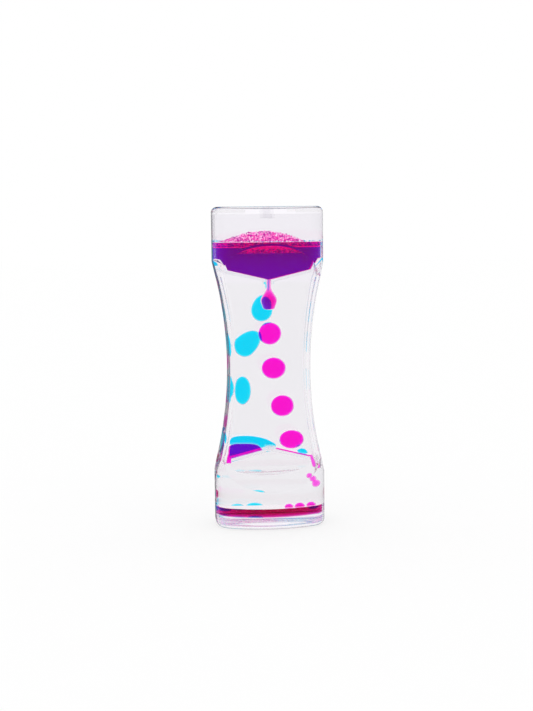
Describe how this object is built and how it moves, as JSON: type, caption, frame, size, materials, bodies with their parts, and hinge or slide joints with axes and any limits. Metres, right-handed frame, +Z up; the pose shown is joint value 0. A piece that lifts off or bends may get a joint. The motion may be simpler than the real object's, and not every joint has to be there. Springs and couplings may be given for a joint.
{
  "type": "liquid motion timer",
  "caption": "Sealed clear hourglass case whose dyed water drips through funnels into clear oil, magenta in the front chamber and cyan in the back one; turned over to start again.",
  "frame": {"origin": "centre of the base, on the surface that the timer stands on", "axes": "+Z up along the hourglass, +X to the right, the front with the magenta chamber faces -Y"},
  "size_m": [0.0452, 0.031, 0.132],
  "materials": {
    "clear_plastic": "clear, polished",
    "funnel_plastic": "clear, polished",
    "magenta_water": "dyed water",
    "cyan_water": "dyed water",
    "magenta_froth": "tiny bubbles",
    "cyan_froth": "tiny bubbles"
  },
  "bodies": {
    "case": {"case_body": "clear_plastic", "top_cap": "clear_plastic", "bottom_cap": "clear_plastic", "filler_plug_front": "clear_plastic", "filler_plug_back": "clear_plastic", "upper_front_funnel": "funnel_plastic", "upper_back_funnel": "funnel_plastic", "lower_front_funnel": "funnel_plastic", "lower_back_funnel": "funnel_plastic", "magenta_upper_pool": "magenta_water", "magenta_froth": "magenta_froth", "magenta_roof_pool": "magenta_water", "magenta_roof_film": "magenta_water", "magenta_lower_pool": "magenta_water", "magenta_bead_1": "magenta_water", "magenta_bead_2": "magenta_water", "magenta_bead_3": "magenta_water", "cyan_upper_pool": "cyan_water", "cyan_froth": "cyan_froth", "cyan_roof_pool": "cyan_water", "cyan_roof_bead": "cyan_water", "cyan_bead_1": "cyan_water", "cyan_bead_2": "cyan_water", "cyan_bead_3": "cyan_water", "cyan_bead_4": "cyan_water"},
    "magenta_drop_1": {"magenta_drop_1": "magenta_water"},
    "magenta_drop_2": {"magenta_drop_2": "magenta_water"},
    "magenta_drop_3": {"magenta_drop_3": "magenta_water"},
    "magenta_drop_4": {"magenta_drop_4": "magenta_water"},
    "cyan_drop_1": {"cyan_drop_1": "cyan_water"},
    "cyan_drop_2": {"cyan_drop_2": "cyan_water"},
    "cyan_drop_3": {"cyan_drop_3": "cyan_water"},
    "magenta_falling_drop_1": {"magenta_falling_drop_1": "magenta_water"},
    "magenta_falling_drop_2": {"magenta_falling_drop_2": "magenta_water"}
  },
  "joints": [
    {"name": "magenta_drop_1_fall", "type": "slide", "parent": "case", "child": "magenta_drop_1", "axis": [0.1012, 0, -0.9949], "range_m": [-0.004, 0.006]},
    {"name": "magenta_drop_2_fall", "type": "slide", "parent": "case", "child": "magenta_drop_2", "axis": [0.2152, 0, -0.9766], "range_m": [-0.00448, 0.00672]},
    {"name": "magenta_drop_3_fall", "type": "slide", "parent": "case", "child": "magenta_drop_3", "axis": [0.2568, 0, -0.9665], "range_m": [-0.00407, 0.0061]},
    {"name": "magenta_drop_4_fall", "type": "slide", "parent": "case", "child": "magenta_drop_4", "axis": [0.969, 0, -0.247], "range_m": [-0.0012, 0.0018]},
    {"name": "cyan_drop_1_fall", "type": "slide", "parent": "case", "child": "cyan_drop_1", "axis": [-0.4473, 0, -0.8944], "range_m": [-0.0018, 0.008]},
    {"name": "cyan_drop_2_fall", "type": "slide", "parent": "case", "child": "cyan_drop_2", "axis": [0, 0, -1], "range_m": [-0.00203, 0.00903]},
    {"name": "cyan_drop_3_fall", "type": "slide", "parent": "case", "child": "cyan_drop_3", "axis": [0, 0, -1], "range_m": [-0.0018, 0.00801]},
    {"name": "magenta_falling_drop_2_fall", "type": "slide", "parent": "case", "child": "magenta_falling_drop_2", "axis": [0, 0, -1], "range_m": [-0.002, 0.0058]},
    {"name": "magenta_falling_drop_1_fall", "type": "slide", "parent": "case", "child": "magenta_falling_drop_1", "axis": [0, 0, -1], "range_m": [-0.002, 0.00581]}
  ],
  "couplings": [
    {"joint": "magenta_drop_2_fall", "follows": "magenta_drop_1_fall", "ratio": 1.1196},
    {"joint": "magenta_drop_3_fall", "follows": "magenta_drop_1_fall", "ratio": 1.0155},
    {"joint": "magenta_drop_4_fall", "follows": "magenta_drop_1_fall", "ratio": 0.3},
    {"joint": "cyan_drop_2_fall", "follows": "cyan_drop_1_fall", "ratio": 1.1272},
    {"joint": "cyan_drop_3_fall", "follows": "cyan_drop_1_fall", "ratio": 1},
    {"joint": "magenta_falling_drop_1_fall", "follows": "magenta_falling_drop_2_fall", "ratio": 1}
  ]
}
